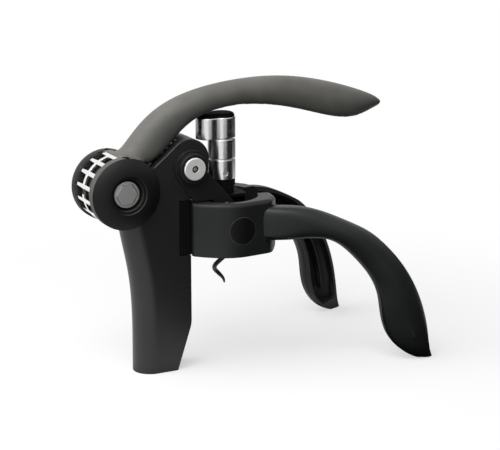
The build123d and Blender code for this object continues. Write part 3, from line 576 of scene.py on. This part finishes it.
# Each clamp arm has a fair skin over its outer side
for node, side in (("front_jaw", -1), ("rear_jaw", 1)):
    skin = remeshed(node)
    weight = smooth(skin.data, arm_weight(side), arm_swell)
    keep_faces(
        skin.data,
        lambda face: min(weight[vert.index] for vert in face.verts) >= arm_least_weight,
    )
    dress(skin, node, "arm_black")

# The worm thins to a sharp point at its lower end
worm_skin = nodes["worm"].data.copy()
bm = bmesh.new()
bm.from_mesh(worm_skin)
bmesh.ops.remove_doubles(bm, verts=bm.verts, dist=weld)
bm.normal_update()
worm_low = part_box("worm")[0][2]
for vert in bm.verts:
    share = min((vert.co.z - worm_low) / worm_point, 1)
    vert.co += vert.normal * (worm_gain - worm_loss * (1 - share) ** worm_taper)
bm.to_mesh(worm_skin)
bm.free()
worm_piece = new_piece("worm_wire", worm_skin)
dress(worm_piece, "worm", "worm_black")
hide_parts("worm")


def seen_share(tree, path):
    """1 for rays that show the background itself, 0 for those that carry its light."""
    seen = math_of(tree, "MAXIMUM", path.outputs["Is Camera Ray"], path.outputs["Is Glossy Ray"])
    return math_of(tree, "MAXIMUM", seen, path.outputs["Is Transmission Ray"])


# Studio: a white floor that keeps the shadow near the object, and a white world
floor_mesh = bpy.data.meshes.new("floor")
floor_corners = [(-1, -1), (1, -1), (1, 1), (-1, 1)]
floor_mesh.from_pydata(
    [(x * floor_half, y * floor_half, 0) for x, y in floor_corners], [], [(0, 1, 2, 3)]
)
floor = new_piece("floor", floor_mesh)
floor_material, tree, shader = new_material("floor_white")
shader.inputs["Roughness"].default_value = floor_roughness
shader.inputs["Specular IOR Level"].default_value = 0.0
place = tree.nodes.new("ShaderNodeNewGeometry")
far = vector_math(tree, "LENGTH", place.outputs["Position"])
fade = ramp(tree, far.outputs["Value"], *floor_fade, floor_near_white)
path = tree.nodes.new("ShaderNodeLightPath")
paint = mix(tree, path.outputs["Is Diffuse Ray"], grey(floor_paint), grey(floor_bounce))
tree.links.new(paint, shader.inputs["Base Color"])
white = tree.nodes.new("ShaderNodeEmission")
blend = tree.nodes.new("ShaderNodeMixShader")
tree.links.new(math_of(tree, "MULTIPLY", seen_share(tree, path), fade), blend.inputs["Fac"])
tree.links.new(shader.outputs["BSDF"], blend.inputs[1])
tree.links.new(white.outputs["Emission"], blend.inputs[2])
tree.links.new(blend.outputs["Shader"], tree.nodes["Material Output"].inputs["Surface"])
floor_mesh.materials.append(floor_material)

world = bpy.data.worlds.new("studio")
scene.world = world
world.use_nodes = True
tree = world.node_tree
background = tree.nodes["Background"]
background.inputs["Color"].default_value = (1, 1, 1, 1)
path = tree.nodes.new("ShaderNodeLightPath")
level = ramp(tree, seen_share(tree, path), 0.0, 1.0, world_light)
tree.links.new(level, background.inputs["Strength"])


def aimed(place, target):
    """Rotation of a lamp or camera that looks from a place to a target."""
    return (target - place).to_track_quat("-Z", "Y").to_euler()


def soft_light(name, place, size, power):
    """Square area light that looks at the object."""
    light = bpy.data.lights.new(name, "AREA")
    light.size = size
    light.energy = power
    lamp = new_piece(name, light)
    lamp.location = place
    lamp.rotation_euler = aimed(Vector(place), light_aim)


soft_light("key", (-0.75, -0.05, 1.15), size=1.5, power=24.0)
soft_light("front", (-0.45, -0.7, 1.2), size=0.9, power=7.5)
soft_light("side", (-1.1, 0.0, 0.3), size=0.6, power=2.0)

flag_material, _, shader = new_material("flag_black")
shader.inputs["Base Color"].default_value = (*grey(flag_paint), 1)
shader.inputs["Roughness"].default_value = 1.0
shader.inputs["Specular IOR Level"].default_value = 0.0


def flag(name, start, end, near, far, high=flag_rise):
    """Dark band round the object, between two angles and two radii, seen by reflections only."""
    corners = []
    for step in range(flag_steps + 1):
        angle = math.radians(start + (end - start) * step / flag_steps)
        along = Vector((math.cos(angle), math.sin(angle), 0))
        corners += [along * near + Vector((0, 0, flag_rise)), along * far + Vector((0, 0, high))]
    faces = [(2 * i, 2 * i + 2, 2 * i + 3, 2 * i + 1) for i in range(flag_steps)]
    mesh = bpy.data.meshes.new(name)
    mesh.from_pydata(corners, [], faces)
    mesh.materials.append(flag_material)
    band = new_piece(name, mesh)
    band.visible_camera = False
    band.visible_diffuse = False
    band.visible_shadow = False
    band.visible_transmission = False


flag("flag_left", 105, 212, near=0.385, far=0.75)
flag("flag_right", -76, 30, near=0.42, far=0.42, high=flag_top)
flag("flag_low", -104, -15, near=0.001, far=0.65)

# Camera at the photograph's place
camera_data = bpy.data.cameras.new("camera")
camera_data.sensor_width = camera_sensor
camera_data.lens = camera_lens
camera = new_piece("camera", camera_data)
hub_foot = Vector((hub.x, 0, 0))
camera.location = hub_foot + camera_from_hub
camera.rotation_euler = aimed(camera.location, hub_foot + target_from_hub)
scene.camera = camera
